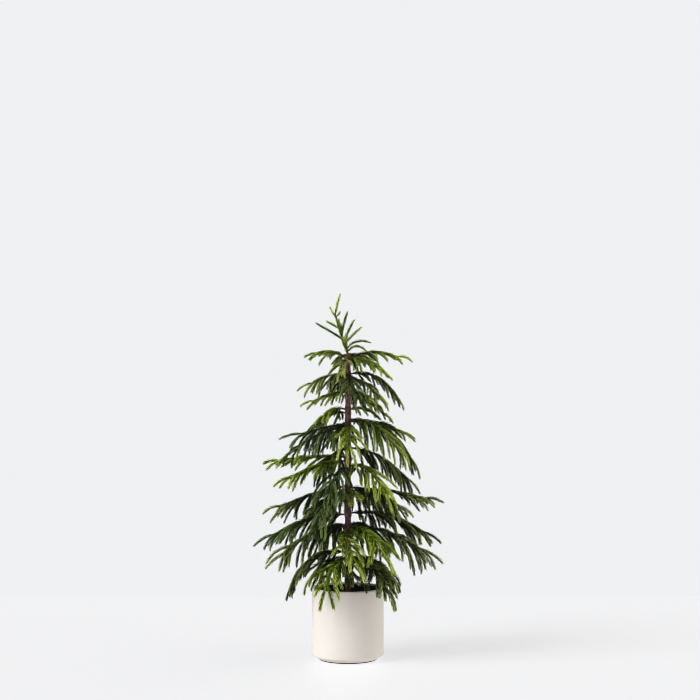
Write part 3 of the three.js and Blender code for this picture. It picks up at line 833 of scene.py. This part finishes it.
def make_bark():
    material, tree, shader = new_material("bark_red_brown", 0.3)
    shader.inputs["Specular IOR Level"].default_value = 0.75
    coords = add_node(tree, "TexCoord").outputs["Object"]
    stretch = add_node(tree, "Mapping", Scale=(1, 1, 0.25))
    tree.links.new(coords, stretch.inputs["Vector"])
    streak = noise(tree, 420, 5, 0.65, stretch.outputs["Vector"])
    patch = noise(tree, 30, 3)
    mixed = weighted(tree, [(streak, 0.6), (patch, 0.4)])
    colour = ramp(tree, mixed, [(0.34, (0.014, 0.006, 0.004)), (0.5, (0.095, 0.036, 0.022)),
                                (0.64, (0.55, 0.27, 0.20))])
    tree.links.new(colour, shader.inputs["Base Color"])
    add_bump(tree, shader, streak, 0.6, 0.0012)
    low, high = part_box("trunk_bark")
    places = sorted({round(joint["pos_m"][2], 5) for joint in frame["joints"]})
    knots = places[:-1]  # the leader's hinge, the highest, has none
    hole, bottom, top, rows = BARK["hole"], BARK["bottom"], BARK["top"], BARK["rows"]

    def wound(r, z, angle):
        """The bark's strip winds up the trunk, and its knots are thicker."""
        if r <= hole:
            return r, z
        swell = max(math.exp(-(((z - height) / BARK["knot_width"]) ** 4)) for height in knots)
        turn = (z / BARK["winding"] + angle / (2 * math.pi)) % 1
        groove = BARK["groove"] * math.exp(-((turn / BARK["groove_width"]) ** 2))
        ridge = BARK["overlap"] * (turn - 0.5) - groove
        lump = BARK["lump"] * math.sin(3 * angle + 90 * z) * math.sin(7 * angle - 240 * z)
        return r + BARK["knot"] * swell + ridge + lump, z

    outline = [(hole, low.z)]
    for k in range(rows + 1):
        share = k / rows
        outline.append((bottom + (top - bottom) * share, low.z + (high.z - low.z) * share))
    outline.append((hole, high.z))
    stands_for(turned("bark", outline, BARK["sides"], material, wound), "trunk_bark")


def make_pad():
    material, tree, shader = new_material("pad_dark_felt", 0.95)
    fibre = noise(tree, 1400, 4)
    colour = ramp(tree, fibre, [(0.3, (0.03, 0.027, 0.024)), (0.7, (0.075, 0.068, 0.06))])
    tree.links.new(colour, shader.inputs["Base Color"])
    add_bump(tree, shader, fibre, 0.5, 0.0006)
    shader.inputs["Sheen Weight"].default_value = 0.2
    low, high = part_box("base_pad")
    edge = PAD["edge"]
    outline = [(0, low.z), *arc(high.x - edge, low.z + edge, edge, -90, 0, 3)]
    outline += [*arc(high.x - edge, high.z - edge, edge, 0, 90, 3), (0, high.z)]
    stands_for(turned("pad", outline, PAD["sides"], material), "base_pad")


def speckled(name, roughness, scale, dark, light, depth):
    """A matt material with fine grain, for the inner pieces."""
    material, tree, shader = new_material(name, roughness)
    grain = noise(tree, scale, 5, 0.6)
    tree.links.new(ramp(tree, grain, [(0.3, dark), (0.7, light)]), shader.inputs["Base Color"])
    add_bump(tree, shader, grain, 0.6, depth)
    return material


def finish_inner_pieces():
    """The pieces that never show keep their CAD shape and get a material each."""
    looks = {
        "ballast": speckled("cement", 0.95, 220, (0.3, 0.29, 0.27), (0.52, 0.5, 0.47), 0.002),
        "foam_plug": speckled("foam_green", 0.95, 700, (0.04, 0.07, 0.03), (0.09, 0.13, 0.06),
                              0.001),
        "trunk_rod": speckled("rod_steel", 0.35, 900, (0.5, 0.5, 0.5), (0.66, 0.66, 0.66),
                              0.0002),
    }
    looks["trunk_rod"].node_tree.nodes["Principled BSDF"].inputs["Metallic"].default_value = 1
    for node, material in looks.items():
        mesh = frame["nodes"][node].data
        mesh.materials.clear()
        mesh.materials.append(material)


make_pot()
make_liner()
make_soil()
make_bark()
make_pad()
finish_inner_pieces()

# ---- foliage ------------------------------------------------------------------------------

# The bright and dark needles are partly the needles' own colours, partly painted light on fronds that catch the
# light and painted shade on fronds that sit in shadow.
NEEDLES = {
    "foliage_bright": needle_material("needles_bright_and_lit", (0.018, 0.032, 0.001),
                                      (0.20, 0.30, 0.008), (0.70, 0.80, 0.16)),
    "foliage_green": needle_material("needles_green", (0.008, 0.014, 0.001),
                                     (0.11, 0.175, 0.008), (0.60, 0.70, 0.16)),
    "foliage_dark": needle_material("needles_dark_and_shaded", (0.003, 0.005, 0.001),
                                    (0.026, 0.044, 0.005), (0.40, 0.48, 0.14)),
    "foliage_blue": needle_material("needles_blue", (0.005, 0.010, 0.003),
                                    (0.046, 0.080, 0.020), (0.34, 0.45, 0.13)),
}
STEM_LOOK = stem_material()
WOOD, GREEN = 0, 1  # the two material slots of a piece of foliage


def scaled(profile, size):
    """A profile of (shares, values) with its values times size."""
    shares, values = profile
    return shares, [value * size for value in values]


def grow(plan):
    """The piece of one frond or of the leader: its stem, then its twigs one by one."""
    chance = plan["chance"]
    growth = Growth()
    path = plan["path"]
    peg = path[0] - unit(path[1] - path[0]) * STEM["peg"]
    rooted = np.vstack([peg, path])
    radii = np.linspace(STEM["root"], STEM["tip"], len(path))
    growth.tube(rooted, np.concatenate([[STEM["root"] * STEM["peg_taper"]], radii]),
                STEM["sides"], STEM_TINT, np.linspace(0, FRESH_AND_LIT["stem"], len(rooted)), WOOD)
    growth.needles(path, BARE["stem_root"], plan["length"],
                   core=([0, 1], [STEM["root"], STEM["tip"]]),
                   lengths=scaled(STEM_NEEDLES, plan["size"] * NEEDLE["length"]),
                   fresh_and_lit=([0, 1], [0, FRESH_AND_LIT["stem_needles"]]),
                   tint=STEM_NEEDLE_TINT, chance=chance, slot=GREEN)
    for twig in plan["twigs"]:
        grow_twig(growth, twig, chance)
    piece = growth.piece(plan["name"] + "_foliage", [STEM_LOOK, NEEDLES[SLOTS[plan["name"]]]])
    stands_for(piece, plan["name"])


def grow_twig(growth, twig, chance):
    """A slightly arched twig with its needles."""
    tint = chance.uniform(0, 1)
    shares = np.linspace(0, 1, TWIG["steps"] + 1)
    direction, length = twig["direction"], twig["length"]
    up = np.array([0.0, 0.0, 1.0])
    lift = up - (up @ direction) * direction
    lift = lift / max(np.linalg.norm(lift), 0.3)
    sway = np.cross(direction, lift) * chance.normal(0, TWIG["sway"])
    arch = twig.get("arch", TWIG["arch"] * chance.uniform(0.5, 1.5))
    curve = (lift * arch + sway) * length
    path = (twig["start"] + np.outer(shares, direction) * length
            + np.outer(4 * shares * (1 - shares), curve))
    radii = np.linspace(TWIG["root"], TWIG["end"], len(shares))
    root_fresh_and_lit = twig["share"] * FRESH_AND_LIT["twig_root"]
    growth.tube(path, radii, TWIG["sides"], tint, root_fresh_and_lit + FRESH_AND_LIT["twig"] * shares, WOOD)
    fullness = min(TWIG_SIZE["most"], TWIG_SIZE["least"] + length / TWIG_SIZE["full"])
    growth.needles(path, BARE["twig_root"], path_length(path) - BARE["twig_tip"],
                   core=([0, 1], [TWIG["root"], TWIG["end"]]),
                   lengths=scaled(TWIG_NEEDLES, twig["size"] * NEEDLE["length"] * fullness),
                   fresh_and_lit=([0, 1], [root_fresh_and_lit, min(1, root_fresh_and_lit + FRESH_AND_LIT["twig_needles"])]),
                   tint=tint, chance=chance, slot=GREEN)


for plan in plan_tree():
    grow(plan)

bpy.context.scene.cycles.filter_width = 1.0
